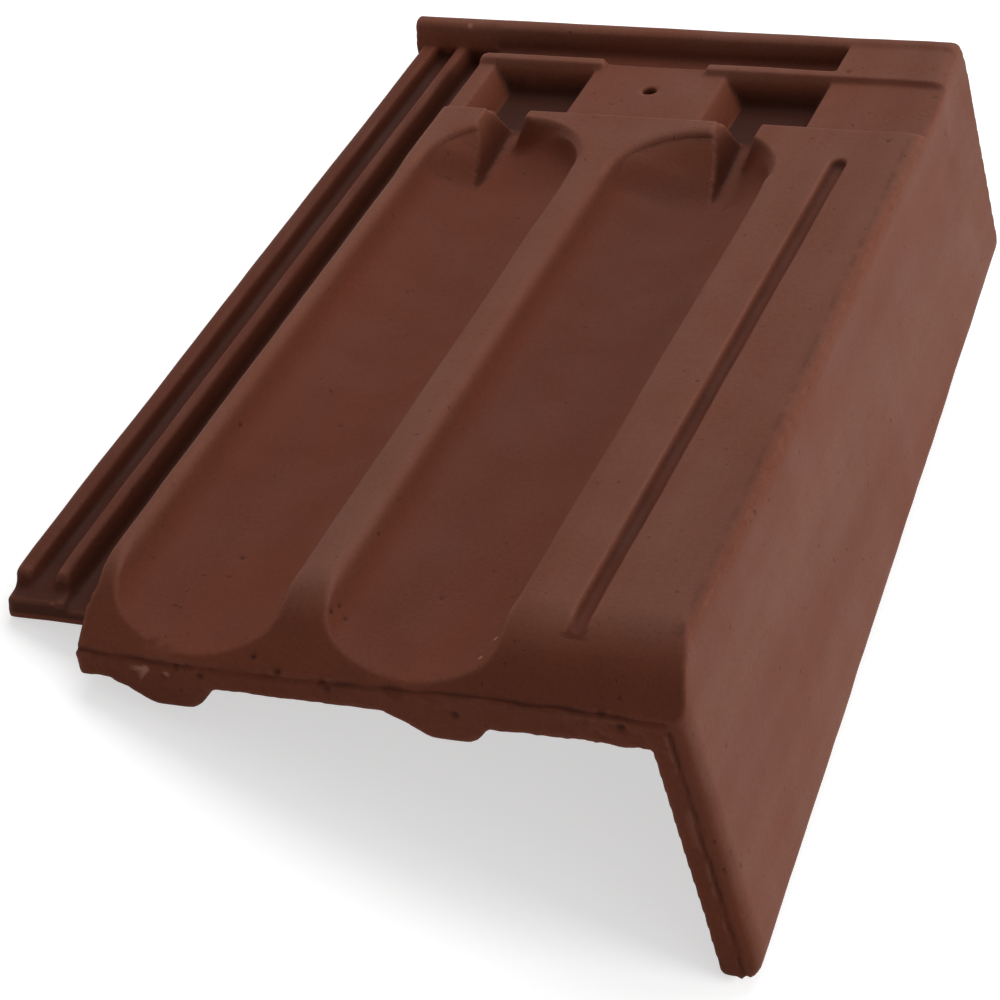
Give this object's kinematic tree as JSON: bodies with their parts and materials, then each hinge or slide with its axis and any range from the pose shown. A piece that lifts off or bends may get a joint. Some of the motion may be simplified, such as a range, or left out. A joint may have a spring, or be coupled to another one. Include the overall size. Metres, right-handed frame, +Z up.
{
  "type": "right-hand verge roof tile",
  "caption": "Interlocking clay verge tile with round troughs, a side interlock, a head channel, a nail hole and a deep side flap that covers the roof's edge.",
  "frame": {"origin": "centre of the bounding box at the level ground that the tile lies on", "axes": "+Y up the slope towards the tile's head, +Z up from the ground, +X towards the side flap"},
  "size_m": [0.2906, 0.417, 0.1117],
  "materials": {
    "fired_clay": "matte, unglazed, slightly rough fired clay"
  },
  "bodies": {
    "root": {"roof_tile": "fired_clay"}
  },
  "joints": []
}
